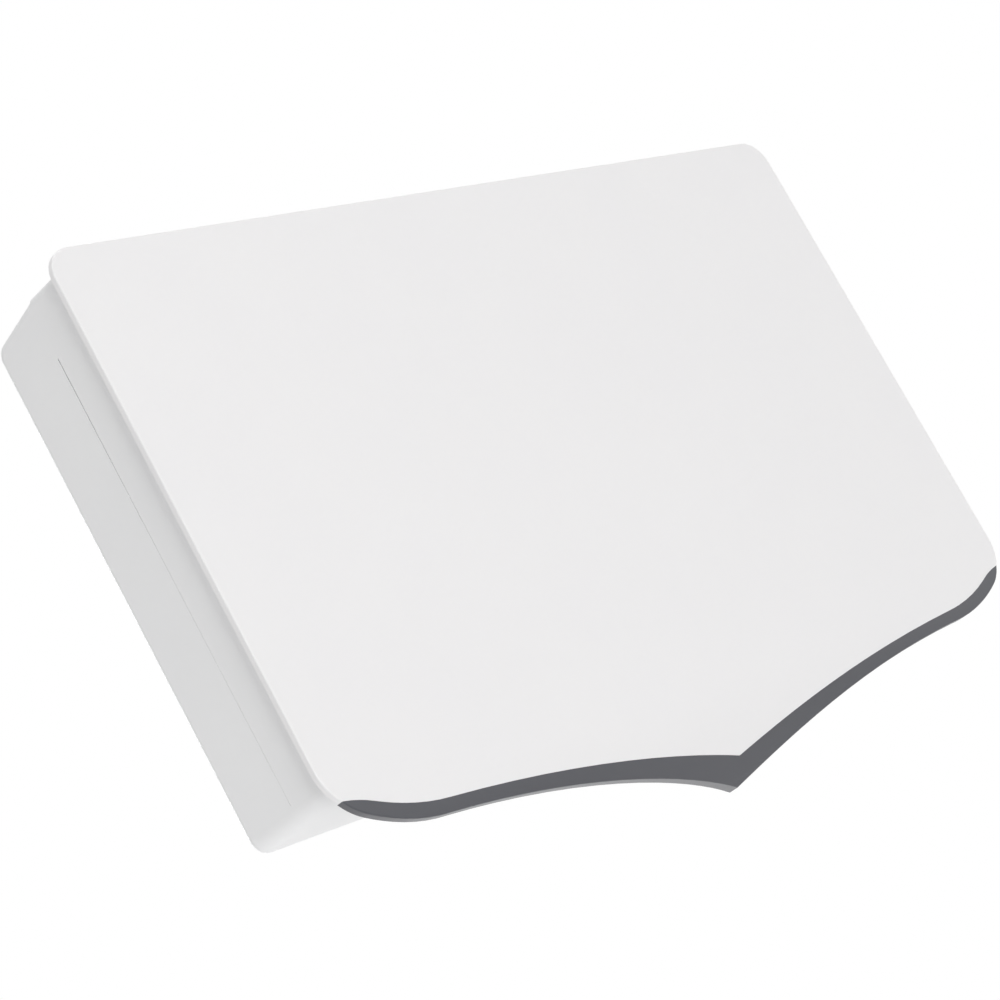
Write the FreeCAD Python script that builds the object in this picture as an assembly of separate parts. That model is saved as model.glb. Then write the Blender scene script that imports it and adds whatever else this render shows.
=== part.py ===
import FreeCAD, Part
import math
import os
from FreeCAD import Vector

os.makedirs("parts", exist_ok=True)

# Flat satellite antenna with a built-in converter, sizes in millimetres.
# The aperture looks along -Y, +Z is up, and the origin is the middle of the four
# mounting threads on the rear pad. Depths are counted from the front face backwards.

# Front cover, flat above and rolled backwards below CHIN_TOP
PANEL_HALF_WIDTH = 250.0
PANEL_TOP = 130.0
PANEL_TOP_RADIUS = 14.0
SHEET = 2.8
EDGE_RADIUS = 0.6
CHIN_TOP = -132.8
CHIN_RADIUS = 62.5
CHIN_TURN = 75.0
RIB_THICK = 1.8
RIB_HEIGHT = 3.0
FIN_PLACES = (45.0, 105.0, 165.0)
FIN_THICK = 2.0
FIN_REACH = 13.0
FIN_DROP = 8.2

# Outer lower edge of the panel, right half, as (inset from the side, drop below CHIN_TOP)
SIDE_END = (0.0, -19.8)
CORNER_MIDDLE = (1.6, -11.9)
SHOULDER_END = (6.2, -5.2)
SHOULDER_BEND = (10.6, -0.5)
SHOULDER_TURN = (16.3, 3.2)
SHOULDER_MIDDLE = (34.0, 9.9)
SHOULDER_START = (60.0, 13.8)
SWEEP_MIDDLE = (150.0, 23.5)
POINT_DROP = 46.2

# Upper edge of the dark strip, in the same terms
STRIP_TIP = (14.5, -3.6)
STRIP_NECK = (22.5, -0.9)
STRIP_BELLY = (41.0, 5.0)
STRIP_FLANK = (62.0, 8.0)
STRIP_SWEEP = (150.0, 16.6)
NOTCH_DROP = 34.6
STRIP_THICK = 3.6
TONGUE_UP = 6.0
TONGUE_DOWN = 4.0
TONGUE_THICK = 1.4
TONGUE_END_INSET = 28.0

# Case: front frame and rear cover behind the panel
CASE_DEPTH = 58.5
SIDE_OVERHANG = 4.5
TOP_OVERHANG = 8.5
CASE_ABOVE_CHIN = 6.8
CASE_TOP_RADIUS = 4.0
CASE_BOTTOM_RADIUS = 7.0
INNER_RADIUS_MIN = 1.0
REAR_TOP_DROP = 6.5
REAR_TOP_RADIUS = 7.0
WALL = 2.8
SLOPE_START = 22.3
JOINT_DEPTH = 25.4
SLIT_TOP_WIDTH = 0.6
SLIT_LOW_WIDTH = 0.14
SLIT_DEPTH = 1.6
SLIT_TOP_GAP = 29.0
SLIT_BOTTOM_GAP = 9.0
LEDGE_FRONT = 8.8
LEDGE_THICK = 2.5
LIP_THICK = 1.8
LIP_REACH = 5.0
SEAL_HEIGHT = 1.6
SHELF_THICK = 2.0
FIT_GAP = 0.2

# Horn array and its feed layers; as many horns as the case has room for
HORN_PITCH = 25.0
HORN_WALL = 2.0
HORN_THROAT = 13.0
HORN_FRONT = 5.5
ARRAY_MARGIN = 2.0
ARRAY_SIDE_ROOM = 41.0
ARRAY_END_ROOM = 18.0
LEDGE_GAP = 1.5
FLANGE_REACH = 16.0
FLANGE_THICK = 3.0
FEED_FRONT_THICK = 8.0
FEED_REAR_THICK = 6.0
FEED_LID_THICK = 2.0
CHANNEL_WIDTH = 6.0
CHANNEL_DEPTH = 4.0
CHANNEL_SPLITS = 5

# Converter behind the array
LNB_HALF_WIDTH = 50.0
LNB_HEIGHT = 60.0
LNB_DEPTH = 12.9
LNB_WALL = 2.5
LNB_LID_THICK = 2.0
LNB_CLEARANCE = 0.6
LNB_PLATE_GAP = 2.0
EAR_REACH = 13.0
EAR_HALF_HEIGHT = 6.0
EAR_SPACING = 30.0
BOARD_THICK = 1.6
BOARD_STAND = 3.0
STAND_RADIUS = 2.5
BOARD_INSET_X = 4.0
BOARD_INSET_Z = 10.5
WINDOW_WIDTH = 19.0
WINDOW_HEIGHT = 9.5
WINDOW_OFFSET = 24.0
PROBE_RADIUS = 0.65
PROBE_REACH = 5.0

# Cable connectors and vent in the bottom wall
PORT_OFFSET = 15.0
PORT_LENGTH = 15.0
PORT_THREAD_RADIUS = 4.76
PORT_SHANK_RADIUS = 5.6
PORT_CORE_RADIUS = 3.0
PORT_CORE_RECESS = 0.5
PORT_CONTACT_RADIUS = 0.6
PORT_CONTACT_DEPTH = 12.0
PORT_SPIGOT_RADIUS = 3.76
PORT_FLANGE_RADIUS = 7.0
PORT_FLANGE_THICK = 2.0
PORT_NUT_FLATS = 15.0
PORT_NUT_THICK = 3.0
PORT_SEAL_THICK = 1.2
PORT_SEAL_RADIUS = 8.5
VENT_OFFSET = 120.0
VENT_RADIUS = 4.0
VENT_CAP_RADIUS = 7.0
VENT_CAP_THICK = 2.5
VENT_BORE_RADIUS = 1.5
VENT_TAIL = 1.5

# Rear mounting: four threaded bushes on a steel plate behind the raised pad
PAD_RISE = 2.0
PAD_MARGIN = 4.0
PAD_CORNER = 10.0
PAD_EDGE_RADIUS = 1.2
MOUNT_SPACING_X = 120.0
MOUNT_SPACING_Z = 80.0
MOUNT_BORE_RADIUS = 2.5
BUSH_RADIUS = 6.0
BUSH_FLANGE_RADIUS = 9.0
BUSH_FLANGE_THICK = 2.0
PLATE_THICK = 3.0
PLATE_EDGE_X = 18.0
PLATE_EDGE_Z = 10.0
PLATE_SCREW_INSET = 8.0
PLATE_SCREW_SPACING = 28.0

# Screws, with their grip in the piece that holds the thread
SCREW_RADIUS = 1.5
SCREW_HEAD_RADIUS = 3.0
SCREW_HEAD_HEIGHT = 2.2
CROSS_HALF_LENGTH = 1.8
CROSS_HALF_WIDTH = 0.4
CROSS_DEPTH = 1.2
COVER_GRIP = 4.0
CASE_GRIP = 11.0
ARRAY_GRIP = 2.3
LAYER_GRIP = 5.0
LID_GRIP = 6.0
EAR_GRIP = 3.5
PLATE_GRIP = 3.6
BOSS_RADIUS = 4.0
WELL_RADIUS = 3.6
WELL_WALL = 1.4
WELL_FLOOR = 4.0
WELL_CHAMFER = 0.8
COVER_SCREW_INSET = 17.5
COVER_SCREW_EDGE = 11.5
COVER_SIDE_ROWS = (45.0, 85.0)
COVER_TOP_SPACING = 135.0
COVER_BOTTOM_SPACING = 150.0
CASE_SCREW_INSET = 11.5
CASE_SCREW_EDGE = 9.0
CASE_SCREW_CORNER = 45.5
CASE_SCREW_INNER = 85.0
ARRAY_SCREW_REACH = 9.0
LAYER_SCREW_INSET_X = 4.0
LAYER_SCREW_INSET_Z = 3.5
LAYER_SCREW_PITCHES = (3, 6)
LID_SCREW_INSET = 5.5
STAND_INSET_X = 10.0
STAND_INSET_Z = 16.0

# Sizes that follow from the ones above
MOUNT_PLANE = CASE_DEPTH + PAD_RISE
REAR_INNER = CASE_DEPTH - WALL
TRIM_ROOM = SHEET
TOUCH = 0.01
RIM_SAMPLES = 5
SHEET_HALF_WIDTH = PANEL_HALF_WIDTH + TRIM_ROOM
CASE_HALF_WIDTH = PANEL_HALF_WIDTH - SIDE_OVERHANG
CASE_TOP = PANEL_TOP - TOP_OVERHANG
CASE_BOTTOM = CHIN_TOP + CASE_ABOVE_CHIN
CASE_MIDDLE = (CASE_TOP + CASE_BOTTOM) / 2
LEDGE_BACK = LEDGE_FRONT + LEDGE_THICK
FLANGE_BACK = LEDGE_BACK + FLANGE_THICK
LIP_INSET = WALL + FIT_GAP
SEAL_BACK = JOINT_DEPTH - LIP_REACH
SEAL_FRONT = SEAL_BACK - SEAL_HEIGHT
WELL_SEAT = JOINT_DEPTH + WELL_FLOOR
HORN_COLUMNS = 2 * math.floor((CASE_HALF_WIDTH - ARRAY_SIDE_ROOM - ARRAY_MARGIN) / HORN_PITCH)
HORN_ROWS = 2 * math.floor((CASE_TOP - CASE_MIDDLE - ARRAY_END_ROOM - ARRAY_MARGIN) / HORN_PITCH)
ARRAY_HALF_WIDTH = HORN_COLUMNS * HORN_PITCH / 2 + ARRAY_MARGIN
ARRAY_HALF_HEIGHT = HORN_ROWS * HORN_PITCH / 2 + ARRAY_MARGIN
LNB_BACK = REAR_INNER - LNB_CLEARANCE - SCREW_HEAD_HEIGHT - LNB_LID_THICK
FEED_LID_BACK = LNB_BACK - LNB_DEPTH
FEED_REAR_BACK = FEED_LID_BACK - FEED_LID_THICK
FEED_FRONT_BACK = FEED_REAR_BACK - FEED_REAR_THICK
HORN_BACK = FEED_FRONT_BACK - FEED_FRONT_THICK
PLATE_FRONT = REAR_INNER - PLATE_THICK
PLATE_HALF_WIDTH = MOUNT_SPACING_X / 2 + PLATE_EDGE_X
PLATE_HALF_HEIGHT = MOUNT_SPACING_Z / 2 + PLATE_EDGE_Z
LNB_TOP = -PLATE_HALF_HEIGHT - LNB_PLATE_GAP
LNB_BOTTOM = LNB_TOP - LNB_HEIGHT
LNB_MIDDLE = (LNB_TOP + LNB_BOTTOM) / 2
LNB_FLOOR = FEED_LID_BACK + LNB_WALL
BOARD_FRONT = LNB_FLOOR + BOARD_STAND
PORT_DEPTH = (FEED_LID_BACK + LNB_BACK) / 2
PORT_END = CASE_BOTTOM - PORT_LENGTH
PORTS = (-PORT_OFFSET, PORT_OFFSET)


def both(value):
    return (-value, value)


def grid(xs, zs):
    return [(x, z) for x in xs for z in zs]


# Fixing points as (x, z)
COVER_POINTS = grid(both(CASE_HALF_WIDTH - COVER_SCREW_INSET),
                    [CASE_MIDDLE + sign * row for row in COVER_SIDE_ROWS for sign in (-1, 1)])
COVER_POINTS += grid((-COVER_TOP_SPACING, 0, COVER_TOP_SPACING), (CASE_TOP - COVER_SCREW_EDGE,))
COVER_POINTS += grid((-COVER_BOTTOM_SPACING, 0, COVER_BOTTOM_SPACING), (CASE_BOTTOM + COVER_SCREW_EDGE,))
CASE_POINTS = grid(both(CASE_HALF_WIDTH - CASE_SCREW_CORNER) + both(CASE_SCREW_INNER),
                   (CASE_TOP - REAR_TOP_DROP - CASE_SCREW_EDGE, CASE_BOTTOM + CASE_SCREW_INSET))
CASE_POINTS += grid(both(CASE_HALF_WIDTH - CASE_SCREW_INSET), (CASE_MIDDLE,))
ODD_ROWS = range(1 - HORN_ROWS // 2, HORN_ROWS // 2, 2)
EVEN_ROWS = range(2 - HORN_ROWS // 2, HORN_ROWS // 2 - 1, 2)
ARRAY_POINTS = grid(both(ARRAY_HALF_WIDTH + ARRAY_SCREW_REACH),
                    [CASE_MIDDLE + k * HORN_PITCH for k in ODD_ROWS])
LAYER_POINTS = grid(both(ARRAY_HALF_WIDTH - LAYER_SCREW_INSET_X),
                    [CASE_MIDDLE + k * HORN_PITCH for k in EVEN_ROWS])
LAYER_POINTS += grid([sign * k * HORN_PITCH for k in LAYER_SCREW_PITCHES for sign in (-1, 1)],
                     [CASE_MIDDLE + sign * (ARRAY_HALF_HEIGHT - LAYER_SCREW_INSET_Z) for sign in (-1, 1)])
MOUNT_POINTS = grid(both(MOUNT_SPACING_X / 2), both(MOUNT_SPACING_Z / 2))
PLATE_POINTS = grid(both(PLATE_HALF_WIDTH - PLATE_SCREW_INSET), both(PLATE_SCREW_SPACING / 2))
LID_POINTS = grid(both(LNB_HALF_WIDTH - LID_SCREW_INSET),
                  (LNB_TOP - LID_SCREW_INSET, LNB_BOTTOM + LID_SCREW_INSET))
EAR_ROWS = (LNB_MIDDLE - EAR_SPACING / 2, LNB_MIDDLE + EAR_SPACING / 2)
EAR_POINTS = grid(both(LNB_HALF_WIDTH + EAR_REACH / 2), EAR_ROWS)
STAND_POINTS = grid(both(LNB_HALF_WIDTH - STAND_INSET_X),
                    (LNB_TOP - STAND_INSET_Z, LNB_BOTTOM + STAND_INSET_Z))
PROBE_POINTS = grid(both(WINDOW_OFFSET), (LNB_MIDDLE,))
HORNS = grid([(i - (HORN_COLUMNS - 1) / 2) * HORN_PITCH for i in range(HORN_COLUMNS)],
             [CASE_MIDDLE + (j - (HORN_ROWS - 1) / 2) * HORN_PITCH for j in range(HORN_ROWS)])


def at(x, depth, z):
    return Vector(x, depth - MOUNT_PLANE, z)


def block(x0, x1, depth0, depth1, z0, z1):
    return Part.makeBox(x1 - x0, depth1 - depth0, z1 - z0, at(x0, depth0, z0))


def rod(x, z, radius, depth0, depth1):
    return Part.makeCylinder(radius, depth1 - depth0, at(x, depth0, z), Vector(0, 1, 0))


def rods(points, radius, depth0, depth1):
    return [rod(x, z, radius, depth0, depth1) for x, z in points]


def post(x, depth, radius, z0, z1):
    return Part.makeCylinder(radius, z1 - z0, at(x, depth, z0), Vector(0, 0, 1))


def arc(start, middle, end, depth):
    return Part.Arc(*[at(x, depth, z) for x, z in (start, middle, end)]).toShape()


def line(start, end, depth):
    return Part.LineSegment(at(start[0], depth, start[1]), at(end[0], depth, end[1])).toShape()


def corner_middle(x, z, toward_x, toward_z, radius):
    k = radius * (1 - math.sqrt(0.5))
    return (x + toward_x * k, z + toward_z * k)


def save(name, shape):
    solids = shape if isinstance(shape, list) else shape.removeSplitter().Solids
    group = solids[0] if len(solids) == 1 else Part.makeCompound(solids)
    group.exportStep("parts/" + name + ".step")


# Outer outline of the panel, as a prism along the depth
def lower(point):
    return (PANEL_HALF_WIDTH - point[0], CHIN_TOP - point[1])


def prism(half_edges, top_half_width, top):
    edges = [line((-top_half_width, top), (top_half_width, top), -TRIM_ROOM)]
    for points in half_edges:
        draw = arc if len(points) == 3 else line
        edges.append(draw(*points, -TRIM_ROOM))
        edges.append(draw(*[(-x, z) for x, z in points], -TRIM_ROOM))
    face = Part.Face(Part.Wire(Part.__sortEdges__(edges)))
    return face.extrude(Vector(0, TRIM_ROOM + CASE_DEPTH, 0))


def outer_prism():
    r = PANEL_TOP_RADIUS
    top_start = (PANEL_HALF_WIDTH - r, PANEL_TOP)
    top_bend = corner_middle(PANEL_HALF_WIDTH, PANEL_TOP, -1, -1, r)
    top_end = (PANEL_HALF_WIDTH, PANEL_TOP - r)
    return prism([[top_start, top_bend, top_end],
                  [top_end, lower(SIDE_END)],
                  [lower(SIDE_END), lower(CORNER_MIDDLE), lower(SHOULDER_END)],
                  [lower(SHOULDER_END), lower(SHOULDER_BEND), lower(SHOULDER_TURN)],
                  [lower(SHOULDER_TURN), lower(SHOULDER_MIDDLE), lower(SHOULDER_START)],
                  [lower(SHOULDER_START), lower(SWEEP_MIDDLE), (0, CHIN_TOP - POINT_DROP)]],
                 PANEL_HALF_WIDTH - r, PANEL_TOP)


# Everything above the dark strip's upper edge, open past the panel's sides and top
def white_prism(lift=0.0):
    top = (SHEET_HALF_WIDTH, PANEL_TOP + TRIM_ROOM)
    side = (SHEET_HALF_WIDTH, lower(SHOULDER_END)[1])
    body = prism([[top, side],
                  [side, lower(SHOULDER_END)],
                  [lower(SHOULDER_END), lower(STRIP_TIP), lower(STRIP_NECK)],
                  [lower(STRIP_NECK), lower(STRIP_BELLY), lower(STRIP_FLANK)],
                  [lower(STRIP_FLANK), lower(STRIP_SWEEP), (0, CHIN_TOP - NOTCH_DROP)]],
                 SHEET_HALF_WIDTH, PANEL_TOP + TRIM_ROOM)
    body.translate(Vector(0, 0, lift))
    return body


# Bent sheet between two offsets from the front face: flat, then rolled backwards.
# It stands TRIM_ROOM past the outline until a prism trims it.
def bent_point(offset, degrees):
    radius = CHIN_RADIUS - offset
    turn = math.radians(degrees)
    return at(-SHEET_HALF_WIDTH, CHIN_RADIUS - radius * math.cos(turn), CHIN_TOP - radius * math.sin(turn))


def bent_sheet(front, back):
    top_front = at(-SHEET_HALF_WIDTH, front, PANEL_TOP + TRIM_ROOM)
    top_back = at(-SHEET_HALF_WIDTH, back, PANEL_TOP + TRIM_ROOM)
    front_arc = [bent_point(front, k * CHIN_TURN) for k in (0, 0.5, 1)]
    back_arc = [bent_point(back, k * CHIN_TURN) for k in (1, 0.5, 0)]
    edges = [Part.LineSegment(top_front, front_arc[0]).toShape(), Part.Arc(*front_arc).toShape(),
             Part.LineSegment(front_arc[2], back_arc[0]).toShape(), Part.Arc(*back_arc).toShape(),
             Part.LineSegment(back_arc[2], top_back).toShape(),
             Part.LineSegment(top_back, top_front).toShape()]
    return Part.Face(Part.Wire(edges)).extrude(Vector(2 * SHEET_HALF_WIDTH, 0, 0))


# Whole front panel with its front edge rounded, before the dark strip is parted from it
def front_depth(z):
    drop = max(CHIN_TOP - z, 0.0)
    return CHIN_RADIUS - math.sqrt(CHIN_RADIUS ** 2 - drop ** 2)


def rounded_panel(thick):
    panel = bent_sheet(0, thick).common(outer_prism())
    rim = []
    for edge in panel.Edges:
        points = edge.discretize(RIM_SAMPLES)
        on_front = all(abs(p.y + MOUNT_PLANE - front_depth(p.z)) < TOUCH for p in points)
        on_bend_line = all(abs(p.z - CHIN_TOP) < TOUCH for p in points)
        if on_front and not on_bend_line:
            rim.append(edge)
    return panel.makeFillet(EDGE_RADIUS, rim)


# Case section: a rectangle with tight top corners and softer bottom corners
def case_wire(inset, depth):
    half = CASE_HALF_WIDTH - inset
    top = CASE_TOP - inset
    bottom = CASE_BOTTOM + inset
    rt = max(CASE_TOP_RADIUS - inset, INNER_RADIUS_MIN)
    rb = max(CASE_BOTTOM_RADIUS - inset, INNER_RADIUS_MIN)
    edges = [line((rt - half, top), (half - rt, top), depth),
             line((rb - half, bottom), (half - rb, bottom), depth)]
    for side in (-1, 1):
        x = side * half
        top_bend = corner_middle(x, top, -side, -1, rt)
        bottom_bend = corner_middle(x, bottom, -side, 1, rb)
        edges.append(arc((x - side * rt, top), top_bend, (x, top - rt), depth))
        edges.append(line((x, top - rt), (x, bottom + rb), depth))
        edges.append(arc((x, bottom + rb), bottom_bend, (x - side * rb, bottom), depth))
    return Part.Wire(Part.__sortEdges__(edges))


def case_block(inset, depth0, depth1):
    return Part.Face(case_wire(inset, depth0)).extrude(Vector(0, depth1 - depth0, 0))


def case_ring(inset0, inset1, depth0, depth1):
    return case_block(inset0, depth0, depth1).cut(case_block(inset1, depth0, depth1))


# Block behind the parting joint, with a top that slopes down towards the back from SLOPE_START on.
# Its rounded rear top edge lets the last rounding run down the slope and right round the back.
def top_fall(depth):
    return REAR_TOP_DROP * (depth - SLOPE_START) / (CASE_DEPTH - SLOPE_START)


def runs_back(edge):
    return abs(edge.Vertexes[0].Y - edge.Vertexes[-1].Y) > TOUCH


def side_prism(x0, x1, profile):
    points = [at(x0, depth, z) for depth, z in profile]
    return Part.Face(Part.makePolygon(points + points[:1])).extrude(Vector(x1 - x0, 0, 0))


def above_slope():
    low = CASE_TOP - top_fall(JOINT_DEPTH)
    return side_prism(-CASE_HALF_WIDTH, CASE_HALF_WIDTH,
                      [(SLOPE_START, CASE_TOP), (JOINT_DEPTH, CASE_TOP), (JOINT_DEPTH, low)])


def sloped_block(inset, back):
    half = CASE_HALF_WIDTH - inset
    bottom = CASE_BOTTOM + inset
    top = CASE_TOP - inset
    body = side_prism(-half, half, [(JOINT_DEPTH, bottom), (back, bottom), (back, top - top_fall(back)),
                                    (JOINT_DEPTH, top - top_fall(JOINT_DEPTH))])
    back_y = back - MOUNT_PLANE
    rear_top = [e for e in body.Edges
                if all(abs(v.Y - back_y) < TOUCH and v.Z > CASE_MIDDLE for v in e.Vertexes)]
    body = body.makeFillet(REAR_TOP_RADIUS - inset, rear_top)
    under = [e for e in body.Edges if runs_back(e) and e.Vertexes[0].Z < CASE_MIDDLE]
    body = body.makeFillet(max(CASE_BOTTOM_RADIUS - inset, INNER_RADIUS_MIN), under)
    upper = [e for e in body.Edges if runs_back(e) and e.Vertexes[0].Z > CASE_MIDDLE]
    return body.makeFillet(max(CASE_TOP_RADIUS - inset, INNER_RADIUS_MIN), upper)


# Parting slit in each side wall, open at the top and closing to a hairline halfway down
def slits():
    half_widths = [(SLIT_TOP_WIDTH / 2, CASE_TOP - SLIT_TOP_GAP), (SLIT_LOW_WIDTH / 2, CASE_MIDDLE),
                   (SLIT_LOW_WIDTH / 2, CASE_BOTTOM + SLIT_BOTTOM_GAP)]
    profile = [(JOINT_DEPTH - w, z) for w, z in half_widths]
    profile += [(JOINT_DEPTH + w, z) for w, z in reversed(half_widths)]
    return [side_prism(x - SLIT_DEPTH, x + SLIT_DEPTH, profile) for x in both(CASE_HALF_WIDTH)]


def screw(x, z, seat, tip):
    facing = 1 if seat > tip else -1
    head = rod(x, z, SCREW_HEAD_RADIUS, *sorted((seat, seat + facing * SCREW_HEAD_HEIGHT)))
    return head.fuse(rod(x, z, SCREW_RADIUS, *sorted((tip, seat))))


def screws(points, seat, tip):
    return [screw(x, z, seat, tip) for x, z in points]


# Front cover: bent white sheet with a locating rib, screw bosses and stiffening fins behind the chin
def radome_cover():
    sheet = rounded_panel(SHEET).common(white_prism())
    extras = [case_ring(LIP_INSET, LIP_INSET + RIB_THICK, SHEET, SHEET + RIB_HEIGHT)]
    extras += rods(COVER_POINTS, BOSS_RADIUS, SHEET, LEDGE_FRONT)
    fin_room = bent_sheet(SHEET, CHIN_RADIUS / 2).common(white_prism(TONGUE_UP + FIT_GAP))
    for x in FIN_PLACES + tuple(-x for x in FIN_PLACES):
        fin = block(x - FIN_THICK / 2, x + FIN_THICK / 2, SHEET, FIN_REACH,
                    CHIN_TOP - FIN_DROP, CASE_BOTTOM - FIT_GAP)
        extras.append(fin.common(fin_room))
    return sheet.fuse(extras).cut(rods(COVER_POINTS, SCREW_RADIUS, LEDGE_FRONT - COVER_GRIP, LEDGE_FRONT))


# Chin strip: dark edge piece that carries the bent surface on, with a tongue behind the cover
def chin_strip():
    edge = rounded_panel(STRIP_THICK).cut(white_prism())
    half = PANEL_HALF_WIDTH - TONGUE_END_INSET
    reach = block(-half, half, 0, CASE_DEPTH, CHIN_TOP - POINT_DROP, CHIN_TOP + CASE_ABOVE_CHIN)
    band = white_prism(-TONGUE_DOWN).cut(white_prism(TONGUE_UP)).common(reach)
    return edge.fuse(bent_sheet(SHEET, SHEET + TONGUE_THICK).common(band))


# Front frame: walls from the cover to the parting joint, with a ledge that holds cover and array
def front_frame():
    walls = case_ring(0, WALL, SHEET, JOINT_DEPTH).cut(above_slope())
    half_x = ARRAY_HALF_WIDTH + LEDGE_GAP
    half_z = ARRAY_HALF_HEIGHT + LEDGE_GAP
    opening = block(-half_x, half_x, LEDGE_FRONT, LEDGE_BACK, CASE_MIDDLE - half_z, CASE_MIDDLE + half_z)
    ledge = case_block(WALL / 2, LEDGE_FRONT, LEDGE_BACK).cut(opening)
    shelf = case_ring(WALL / 2, LIP_INSET + LIP_THICK, SEAL_FRONT - SHELF_THICK, SEAL_FRONT)
    frame = walls.fuse([ledge, shelf] + rods(CASE_POINTS, BOSS_RADIUS, LEDGE_FRONT, JOINT_DEPTH))
    holes = rods(CASE_POINTS, SCREW_RADIUS, JOINT_DEPTH - CASE_GRIP, JOINT_DEPTH)
    holes += rods(COVER_POINTS, SCREW_RADIUS + FIT_GAP, LEDGE_FRONT, LEDGE_BACK)
    holes += rods(ARRAY_POINTS, SCREW_RADIUS, LEDGE_BACK - ARRAY_GRIP, LEDGE_BACK)
    return frame.cut(holes + slits())


# Rear cover: tub with a sloping top, screw wells, a raised mounting pad and connector holes
def rear_cover():
    shell = sloped_block(0, CASE_DEPTH)
    cavity = sloped_block(WALL, REAR_INNER)
    lip = case_ring(LIP_INSET, LIP_INSET + LIP_THICK, SEAL_BACK, JOINT_DEPTH)
    lip_root = case_ring(WALL / 2, LIP_INSET + LIP_THICK, JOINT_DEPTH, JOINT_DEPTH + LIP_THICK)
    half_x = PLATE_HALF_WIDTH + PAD_MARGIN
    half_z = PLATE_HALF_HEIGHT + PAD_MARGIN
    pad = block(-half_x, half_x, REAR_INNER, MOUNT_PLANE, -half_z, half_z)
    upright = [e for e in pad.Edges if abs(e.Vertexes[0].Y - e.Vertexes[-1].Y) > PAD_RISE]
    pad = pad.makeFillet(PAD_CORNER, upright)
    pad = pad.makeFillet(PAD_EDGE_RADIUS, [e for e in pad.Edges if all(abs(v.Y) < TOUCH for v in e.Vertexes)])
    wells = rods(CASE_POINTS, WELL_RADIUS + WELL_WALL, JOINT_DEPTH, REAR_INNER + WALL / 2)
    holes = rods(CASE_POINTS, WELL_RADIUS, WELL_SEAT, CASE_DEPTH)
    holes += [Part.makeCone(WELL_RADIUS, WELL_RADIUS + WELL_CHAMFER, WELL_CHAMFER,
                            at(x, CASE_DEPTH - WELL_CHAMFER, z), Vector(0, 1, 0)) for x, z in CASE_POINTS]
    holes += rods(CASE_POINTS, SCREW_RADIUS + FIT_GAP, JOINT_DEPTH, WELL_SEAT)
    holes += rods(MOUNT_POINTS, BUSH_RADIUS + FIT_GAP, REAR_INNER, MOUNT_PLANE)
    holes += rods(PLATE_POINTS, SCREW_RADIUS, REAR_INNER, REAR_INNER + PLATE_GRIP)
    wall_top = CASE_BOTTOM + WALL
    holes += [post(x, PORT_DEPTH, PORT_SHANK_RADIUS + FIT_GAP, CASE_BOTTOM, wall_top) for x in PORTS]
    holes.append(post(VENT_OFFSET, PORT_DEPTH, VENT_RADIUS, CASE_BOTTOM, wall_top))
    return shell.cut(cavity).fuse([lip, lip_root, pad] + wells).cut(holes + slits())


def cross_recess(x, z, back):
    sideways = block(x - CROSS_HALF_LENGTH, x + CROSS_HALF_LENGTH, back - CROSS_DEPTH, back,
                     z - CROSS_HALF_WIDTH, z + CROSS_HALF_WIDTH)
    upright = block(x - CROSS_HALF_WIDTH, x + CROSS_HALF_WIDTH, back - CROSS_DEPTH, back,
                    z - CROSS_HALF_LENGTH, z + CROSS_HALF_LENGTH)
    return sideways.fuse(upright)


def case_screws():
    plain = screws(CASE_POINTS, WELL_SEAT, JOINT_DEPTH - CASE_GRIP)
    back = WELL_SEAT + SCREW_HEAD_HEIGHT
    return [body.cut(cross_recess(x, z, back)) for body, (x, z) in zip(plain, CASE_POINTS)]


# Vent plug: breathing plug with a cap, pressed into the bottom wall
def vent_plug():
    top = CASE_BOTTOM + WALL + VENT_TAIL
    stem = post(VENT_OFFSET, PORT_DEPTH, VENT_RADIUS, CASE_BOTTOM, top)
    cap = post(VENT_OFFSET, PORT_DEPTH, VENT_CAP_RADIUS, CASE_BOTTOM - VENT_CAP_THICK, CASE_BOTTOM)
    return stem.fuse(cap).cut(post(VENT_OFFSET, PORT_DEPTH, VENT_BORE_RADIUS, CASE_BOTTOM, top))


# Horn plate: grid of square pyramidal horns, wide at the front and feeding through at the back
def array_block(depth0, depth1, widen=0.0):
    half = ARRAY_HALF_WIDTH + widen
    return block(-half, half, depth0, depth1,
                 CASE_MIDDLE - ARRAY_HALF_HEIGHT, CASE_MIDDLE + ARRAY_HALF_HEIGHT)


def horn_plate():
    plate = array_block(HORN_FRONT, HORN_BACK).fuse(array_block(LEDGE_BACK, FLANGE_BACK, FLANGE_REACH))
    mouth = (HORN_PITCH - HORN_WALL) / 2
    throat = HORN_THROAT / 2
    front_y = HORN_FRONT - MOUNT_PLANE
    back_y = HORN_BACK - MOUNT_PLANE
    horns = [Part.makeWedge(x - mouth, front_y, z - mouth, z - throat, x - throat,
                            x + mouth, back_y, z + mouth, z + throat, x + throat) for x, z in HORNS]
    holes = rods(ARRAY_POINTS, SCREW_RADIUS + FIT_GAP, LEDGE_BACK, FLANGE_BACK)
    holes += rods(LAYER_POINTS, SCREW_RADIUS, HORN_BACK - LAYER_GRIP, HORN_BACK)
    return plate.cut(horns + holes)


# Feed layers: each channel tree splits in two again and again, sideways and upwards in turn
def feed_tree(x, z, reach_x, reach_z, sideways, splits, depth0, depth1):
    if splits == 0:
        return []
    w = CHANNEL_WIDTH / 2
    dx = reach_x if sideways else 0
    dz = 0 if sideways else reach_z
    pieces = [block(x - dx - w, x + dx + w, depth0, depth1, z - dz - w, z + dz + w)]
    next_x = reach_x / 2 if sideways else reach_x
    next_z = reach_z if sideways else reach_z / 2
    for sign in (-1, 1):
        pieces += feed_tree(x + sign * dx, z + sign * dz, next_x, next_z,
                            not sideways, splits - 1, depth0, depth1)
    return pieces


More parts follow.
